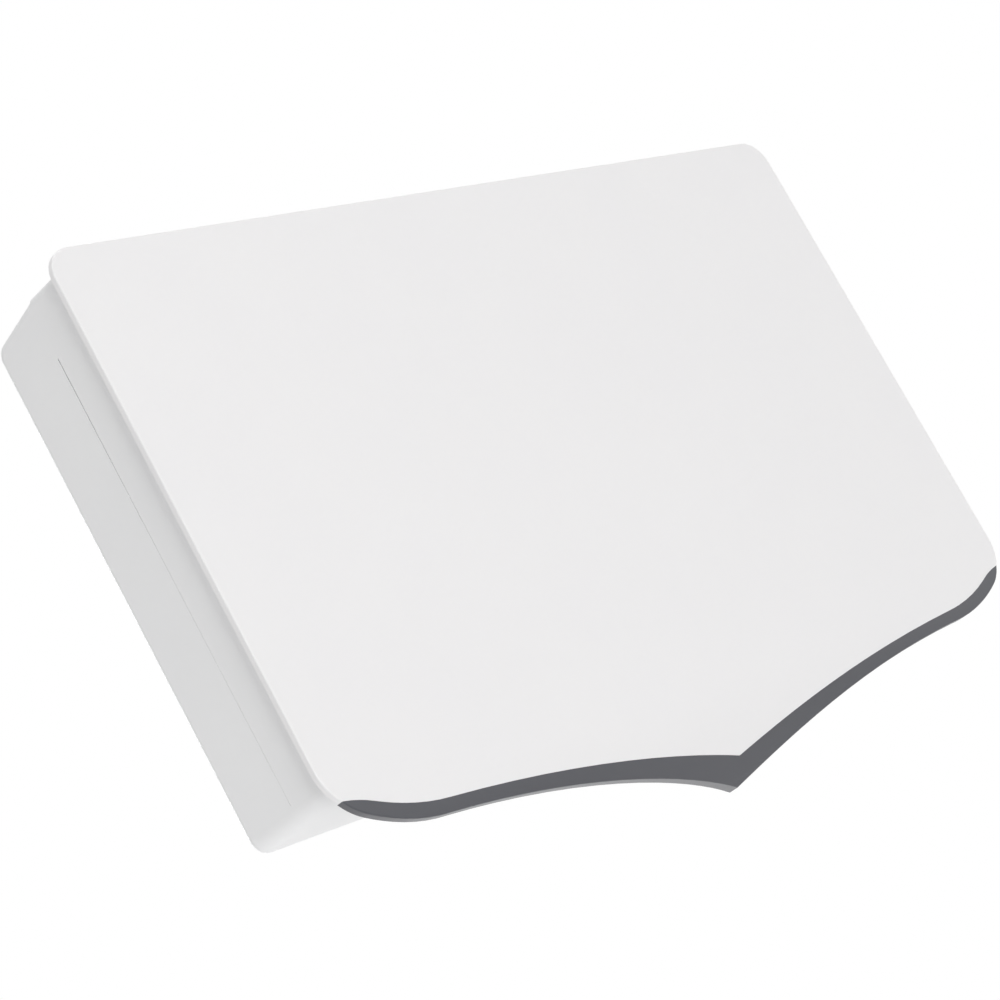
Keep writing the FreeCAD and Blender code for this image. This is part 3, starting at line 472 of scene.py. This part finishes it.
spots = [(middle(p.x for p in points), high.y, middle(p.z for p in points))
         for points in node_pieces("mount_bushes")]
set_of("tapped_bushes", bush, spots, zinc, "plated_steel", "mount_bushes")


# Rear cover: the tub that closes the case from behind, with deep screw wells and a raised pad for
# the bracket. Moulded in the same grained off-white ASA as the front frame.
finish_nodes(case_plastic, "rear_cover")


# Case seal: a cord of rubber pressed between the rear cover's lip and the front frame's shelf.
# Moulded EPDM, black and dull, with a faint bloom.
RUBBER_BLACK = "1B1B1C"
RUBBER_BLOOM = "242425"
RUBBER_BLOOM_SIZE = 9 * MM
RUBBER_ROUGHNESS = (0.66, 0.82)
RUBBER_GRAIN = 0.35 * MM
RUBBER_GRAIN_DEPTH = 0.02 * MM
RUBBER_IOR = 1.5

rubber = grained_finish("moulded_epdm_rubber", RUBBER_BLACK, RUBBER_BLOOM, RUBBER_BLOOM_SIZE,
                        RUBBER_ROUGHNESS, RUBBER_GRAIN, RUBBER_GRAIN_DEPTH, {"IOR": RUBBER_IOR})
finish_nodes(rubber, "case_seal")


# Cable connectors: two screw-on sockets from the converter through the bottom wall, each with a
# white insulator, a rubber washer and a thin hexagon nut. Turned brass, nickel-plated, warm and bright.
NICKEL_LIGHT = "C9C5BC"
NICKEL_SHADE = "BAB5AB"
NICKEL_ROUGHNESS = (0.16, 0.28)
PORT_THREAD_RADIUS = 4.76
PORT_THREAD_PITCH = 25.4 / 32
PORT_THREAD_DEPTH = 0.42
PORT_SHANK_RADIUS = 5.6
PORT_FLANGE_RADIUS = 7.0
PORT_FLANGE = 2.0
PORT_SPIGOT_RADIUS = 3.76
PORT_SPIGOT = 2.5
PORT_CORE_RADIUS = 3.0
PORT_EDGE = 0.6
PORT_SIDES = 64
CONTACT_RADIUS = 0.6
CONTACT_DEPTH = 12.0
CONTACT_LEAD = 0.5
NUT_FLATS = 15.0
NUT_EDGE = 1.0
NUT_INSET = 0.3
NUT_STEPS = 6
NUT_SIDES = 72
WASHER_EDGE = 0.3
WASHER_ROUND = 0.3
PTFE_WHITE = "EDECE7"
PTFE_SHADE = "E4E3DD"
PTFE_ROUGHNESS = (0.42, 0.52)
PTFE_GRAIN = 0.5 * MM
PTFE_GRAIN_DEPTH = 0.004 * MM
PTFE_IOR = 1.38

low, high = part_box("port_bodies")
nut_low, nut_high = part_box("port_nuts")
seal_low, seal_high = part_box("port_seals")
core_low, core_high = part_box("port_insulators")
port_y = (low.y + high.y) / 2
spots = [(middle(p.x for p in points), port_y, 0.0) for points in node_pieces("port_bodies")]
port_end, port_top = low.z / MM, high.z / MM
nut_bottom, nut_top = nut_low.z / MM, nut_high.z / MM
flange_top = port_top - PORT_SPIGOT
flange_bottom = flange_top - PORT_FLANGE

nickel = turned_finish("nickel_plated_brass", NICKEL_LIGHT, NICKEL_SHADE, NICKEL_ROUGHNESS, "Z")
barrel = thread_rings(PORT_THREAD_RADIUS, port_end + PORT_EDGE, nut_bottom, PORT_THREAD_PITCH)
body = turned([(PORT_CORE_RADIUS, port_end), (PORT_THREAD_RADIUS - PORT_EDGE, port_end)] + barrel
              + [(PORT_SHANK_RADIUS, nut_bottom), (PORT_SHANK_RADIUS, flange_bottom),
                 (PORT_FLANGE_RADIUS, flange_bottom), (PORT_FLANGE_RADIUS, flange_top),
                 (PORT_SPIGOT_RADIUS, flange_top), (PORT_SPIGOT_RADIUS, port_top),
                 (PORT_CORE_RADIUS, port_top)], PORT_SIDES, closed=True)
body = threaded(body, PORT_THREAD_RADIUS, PORT_THREAD_PITCH, -PORT_THREAD_DEPTH, port_end, nut_bottom, nickel)
set_of("threaded_ports", body, spots, nickel, "nickel_brass", "port_bodies")

# The nut's faces end in the arcs that a cone leaves on a hexagon
work = bmesh.new()
levels = [(nut_bottom + NUT_EDGE * i / NUT_STEPS, i / NUT_STEPS) for i in range(NUT_STEPS + 1)]
levels.append((nut_top, 1.0))
corner = NUT_FLATS / math.sqrt(3)
face = NUT_FLATS / 2 - NUT_INSET
rings = []
for z, share in levels:
    cone = face + (corner - face) * share
    ring = []
    for i in range(NUT_SIDES):
        around = 2 * math.pi * i / NUT_SIDES
        flat = NUT_FLATS / 2 / math.cos(around % (math.pi / 3) - math.pi / 6)
        radius = min(flat, cone) * MM
        ring.append(work.verts.new((radius * math.cos(around), radius * math.sin(around), z * MM)))
    rings.append(ring)
for z in (nut_top, nut_bottom):
    rings.append([work.verts.new((PORT_SHANK_RADIUS * MM * math.cos(2 * math.pi * i / NUT_SIDES),
                                  PORT_SHANK_RADIUS * MM * math.sin(2 * math.pi * i / NUT_SIDES), z * MM))
                  for i in range(NUT_SIDES)])
for lower, upper in zip(rings, rings[1:] + rings[:1]):
    for i in range(NUT_SIDES):
        j = (i + 1) % NUT_SIDES
        work.faces.new((lower[i], lower[j], upper[j], upper[i]))
set_of("hexagon_nuts", closed_mesh(work, "nut"), spots, nickel, "nickel_brass", "port_nuts")

washer_low, washer_high = seal_low.z / MM, seal_high.z / MM
washer_radius = (seal_high.y - seal_low.y) / 2 / MM
washer_round = WASHER_EDGE * WASHER_ROUND
washer = turned([(PORT_SHANK_RADIUS, washer_low), (washer_radius - WASHER_EDGE, washer_low),
                 (washer_radius - washer_round, washer_low + washer_round),
                 (washer_radius, washer_low + WASHER_EDGE), (washer_radius, washer_high - WASHER_EDGE),
                 (washer_radius - washer_round, washer_high - washer_round),
                 (washer_radius - WASHER_EDGE, washer_high), (PORT_SHANK_RADIUS, washer_high)],
                PORT_SIDES, closed=True)
set_of("rubber_washers", washer, spots, rubber, "seal_rubber", "port_seals")

ptfe = grained_finish("turned_ptfe_white", PTFE_WHITE, PTFE_SHADE, FLOW_LENGTH, PTFE_ROUGHNESS, PTFE_GRAIN,
                      PTFE_GRAIN_DEPTH, {"IOR": PTFE_IOR})
core_end, core_top = core_low.z / MM, core_high.z / MM
core = turned([(0, core_end + CONTACT_DEPTH), (CONTACT_RADIUS, core_end + CONTACT_DEPTH),
               (CONTACT_RADIUS, core_end + CONTACT_LEAD), (CONTACT_RADIUS + CONTACT_LEAD, core_end),
               (PORT_CORE_RADIUS, core_end), (PORT_CORE_RADIUS, core_top), (0, core_top)], PORT_SIDES)
set_of("ptfe_insulators", core, spots, ptfe, "insulator_plastic", "port_insulators")


# Vent plug: a push-in plug in the bottom wall that lets the case breathe and keeps water out.
# Moulded polyamide, black, with a domed cap and grip ribs round its rim.
VENT_RADIUS = 4.0
VENT_BORE = 1.5
VENT_CAP_RADIUS = 7.0
VENT_CAP = 2.5
VENT_DOME = ((0, 0), (4.2, 0.0), (5.6, 0.15), (6.3, 0.45), (6.7, 0.9))
VENT_RIM_RADIUS = 6.7
VENT_RIM_EDGE = 0.3
VENT_TAIL_INSET = 0.4
VENT_TAIL_LEAD = 0.5
VENT_RIBS = 24
VENT_RIB = (0.5, 0.7, 1.5)
VENT_SIDES = 64
POLYAMIDE_BLACK = "1E1E20"
POLYAMIDE_SHADE = "262628"
POLYAMIDE_ROUGHNESS = (0.42, 0.56)
POLYAMIDE_GRAIN = 0.4 * MM
POLYAMIDE_GRAIN_DEPTH = 0.008 * MM
POLYAMIDE_IOR = 1.53

black_plastic = grained_finish("moulded_polyamide_black", POLYAMIDE_BLACK, POLYAMIDE_SHADE, FLOW_LENGTH,
                               POLYAMIDE_ROUGHNESS, POLYAMIDE_GRAIN, POLYAMIDE_GRAIN_DEPTH,
                               {"IOR": POLYAMIDE_IOR})

# Rib rule: one rib at every point of a circle, turned outwards, joined to the plug
rib_tree, size = new_tree("rim_ribs", (("Count", "Int"), ("Radius", "Float"), ("Rib", "Vector"),
                                       ("Height", "Float")))
rim = add_node(rib_tree, "GeometryNodeMeshCircle", {"Vertices": size["Count"], "Radius": size["Radius"]})
rib = add_node(rib_tree, "GeometryNodeMeshCube", {"Size": size["Rib"]})
place = add_node(rib_tree, "GeometryNodeInputPosition", {})
facing = add_node(rib_tree, "FunctionNodeAlignRotationToVector", {"Vector": place.outputs["Position"]},
                  axis="X")
ribs = add_node(rib_tree, "GeometryNodeInstanceOnPoints", {"Points": rim.outputs["Mesh"],
                                                           "Instance": rib.outputs["Mesh"],
                                                           "Rotation": facing.outputs["Rotation"]})
lift = add_node(rib_tree, "ShaderNodeCombineXYZ", {"Z": size["Height"]})
raised = add_node(rib_tree, "GeometryNodeTransform", {"Geometry": ribs.outputs["Instances"],
                                                      "Translation": lift.outputs["Vector"]})
joined = add_node(rib_tree, "GeometryNodeJoinGeometry", {"Geometry": raised.outputs["Geometry"]})
rib_tree.links.new(size["Geometry"], joined.inputs["Geometry"])
end_tree(rib_tree, joined.outputs["Geometry"], size["Material"])

low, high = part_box("vent_plug")
tail = (high.z - low.z) / MM
plug = turned(VENT_DOME + ((VENT_RIM_RADIUS, VENT_CAP - VENT_RIM_EDGE),
                           (VENT_RIM_RADIUS - VENT_RIM_EDGE, VENT_CAP), (VENT_RADIUS, VENT_CAP),
                           (VENT_RADIUS, tail - VENT_TAIL_LEAD), (VENT_RADIUS - VENT_TAIL_INSET, tail),
                           (VENT_BORE, tail), (VENT_BORE, VENT_CAP), (0, VENT_CAP)), VENT_SIDES)
plug = grown(plug, rib_tree, {"Count": VENT_RIBS, "Radius": (VENT_CAP_RADIUS - VENT_RIB[0]) * MM,
                              "Rib": [side * MM for side in VENT_RIB], "Height": VENT_CAP / 2 * MM,
                              "Material": black_plastic})
plug.transform(Matrix.Translation(((low.x + high.x) / 2, (low.y + high.y) / 2, low.z)))
add_piece("ribbed_vent", plug, "black_plastic", "vent_plug")


# Chin strip: the dark edge piece that carries the bent surface on to the point, held by a tongue
# behind the front cover. Injection-moulded ASA coloured right through, satin, so that its edge
# mirrors the pale surroundings at a flat angle.
STRIP_GREY = "535459"
STRIP_SHADE = "515257"
STRIP_ROUGHNESS = (0.28, 0.31)
STRIP_GRAIN = 0.8 * MM
STRIP_GRAIN_DEPTH = 0.001 * MM

strip_plastic = grained_finish("moulded_asa_dark_grey", STRIP_GREY, STRIP_SHADE, FLOW_LENGTH, STRIP_ROUGHNESS,
                               STRIP_GRAIN, STRIP_GRAIN_DEPTH, {"IOR": ASA_IOR})
finish_nodes(strip_plastic, "chin_strip")


# Front cover: the radome, a thin white sheet that lets the signal through. Injection-moulded ASA
# with a smooth satin face, screwed on from inside so that no fixing shows.
COVER_WHITE = "EFEEEE"
COVER_SHADE = "EDECED"
COVER_ROUGHNESS = (0.34, 0.40)
COVER_GRAIN = 0.8 * MM
COVER_GRAIN_DEPTH = 0.003 * MM

cover_plastic = grained_finish("moulded_asa_white", COVER_WHITE, COVER_SHADE, FLOW_LENGTH, COVER_ROUGHNESS,
                               COVER_GRAIN, COVER_GRAIN_DEPTH, {"IOR": ASA_IOR})
finish_nodes(cover_plastic, "radome_cover")


# Camera: a long lens in front of the antenna, to its left and below it, turned about its own axis
# so that the panel's top edge climbs to the right.
CAMERA_PLACE = (-1.09808, -0.93440, -0.30861)
CAMERA_RIGHT = Vector((0.64412, -0.60276, -0.47095))
CAMERA_UP = Vector((0.17461, -0.48357, 0.85772))
CAMERA_LENS = 112.8
CAMERA_SENSOR = 36.0

lens = bpy.data.cameras.new("camera")
lens.lens = CAMERA_LENS
lens.sensor_width = CAMERA_SENSOR
camera = new_object("camera", lens)
axes = (CAMERA_RIGHT, CAMERA_UP, CAMERA_RIGHT.cross(CAMERA_UP))
camera.matrix_world = Matrix.Translation(CAMERA_PLACE) @ Matrix(axes).transposed().to_4x4()
bpy.context.scene.camera = camera


# Floor: a pale studio floor below the hanging antenna, which fades to white away from it and is
# clear from below, so that the ports and the chin can be looked at from there.
FLOOR_DROP = 0.33
FLOOR_HALF = 6.0
FLOOR_WHITE = "FDFDFD"
FADE_START = 0.6
FADE_END = 1.8


# 1 for a ray that sees the surroundings, directly, mirrored or through something, and 0 for one
# that gathers light.
def seeing_ray(tree):
    path = add_node(tree, "ShaderNodeLightPath", {})
    seen = path.outputs["Is Camera Ray"]
    for kind in ("Is Glossy Ray", "Is Transmission Ray"):
        either = add_node(tree, "ShaderNodeMath", {0: seen, 1: path.outputs[kind]}, operation="MAXIMUM")
        seen = either.outputs["Value"]
    return seen


mesh = bpy.data.meshes.new("floor")
corners = [(x * FLOOR_HALF, y * FLOOR_HALF, -FLOOR_DROP) for x, y in ((-1, -1), (1, -1), (1, 1), (-1, 1))]
mesh.from_pydata(corners, [], [(0, 1, 2, 3)])
floor = new_object("floor", mesh)

material, tree = new_material("floor_paper")
place = add_node(tree, "ShaderNodeTexCoord", {}).outputs["Object"]
flat = add_node(tree, "ShaderNodeVectorMath", {0: place, 1: (1, 1, 0)}, operation="MULTIPLY")
reach = add_node(tree, "ShaderNodeVectorMath", {0: flat.outputs["Vector"]}, operation="LENGTH")
fade = add_node(tree, "ShaderNodeMapRange", {"Value": reach.outputs["Value"], "From Min": FADE_START,
                                             "From Max": FADE_END}, interpolation_type="SMOOTHSTEP")
share = add_node(tree, "ShaderNodeMath", {0: seeing_ray(tree), 1: fade.outputs["Result"]},
                 operation="MULTIPLY")
paper = add_node(tree, "ShaderNodeBsdfDiffuse", {"Color": linear(FLOOR_WHITE)})
white = add_node(tree, "ShaderNodeEmission", {"Strength": 1.0})
upper = add_node(tree, "ShaderNodeMixShader", {"Fac": share.outputs["Value"], 1: paper.outputs["BSDF"],
                                               2: white.outputs["Emission"]})
below = add_node(tree, "ShaderNodeNewGeometry", {}).outputs["Backfacing"]
clear = add_node(tree, "ShaderNodeBsdfTransparent", {})
surface = add_node(tree, "ShaderNodeMixShader", {"Fac": below, 1: upper.outputs["Shader"],
                                                 2: clear.outputs["BSDF"]})
add_node(tree, "ShaderNodeOutputMaterial", {"Surface": surface.outputs["Shader"]})
mesh.materials.append(material)


# Light: an even pale room, white where it is seen or mirrored, a wide soft lamp in front to the
# left, one behind to the right for the back, a larger one overhead for the floor, and a bounce card
# below and behind the case. Each lamp is (name, place, target, width, depth, power).
ROOM_WHITE = "FFFFFF"
ROOM_LEVEL = 0.465
LAMPS = (("front_lamp", Vector((-1.6, -3.9, -0.05)), Vector((0.0, -0.05, -0.05)), 1.6, 0.5, 58.0),
         ("rear_lamp", Vector((1.6, 3.6, 0.5)), Vector((0.0, 0.0, 0.0)), 1.6, 1.6, 44.0),
         ("overhead_lamp", Vector((-0.2, -0.3, 4.0)), Vector((-0.2, -0.3, 0.0)), 4.0, 4.0, 66.0),
         ("bounce_card", Vector((-0.13, 0.28, -0.32)), Vector((-0.13, 0.28, 0.0)), 1.12, 0.4, 0.78))

world = bpy.data.worlds.new("studio")
bpy.context.scene.world = world
world.use_nodes = True
tree = world.node_tree
tree.nodes.clear()
level = add_node(tree, "ShaderNodeMapRange", {"Value": seeing_ray(tree), "To Min": ROOM_LEVEL, "To Max": 1.0})
room = add_node(tree, "ShaderNodeBackground", {"Color": linear(ROOM_WHITE),
                                               "Strength": level.outputs["Result"]})
add_node(tree, "ShaderNodeOutputWorld", {"Surface": room.outputs["Background"]})

for name, place, target, width, depth, power in LAMPS:
    lamp = bpy.data.lights.new(name, "AREA")
    lamp.shape = "RECTANGLE"
    lamp.size = width
    lamp.size_y = depth
    lamp.energy = power
    lamp_object = new_object(name, lamp)
    turn = (target - place).to_track_quat("-Z", "Y")
    lamp_object.matrix_world = Matrix.Translation(place) @ turn.to_matrix().to_4x4()
    lamp_object.visible_camera = False

bpy.context.scene.view_settings.view_transform = "Standard"
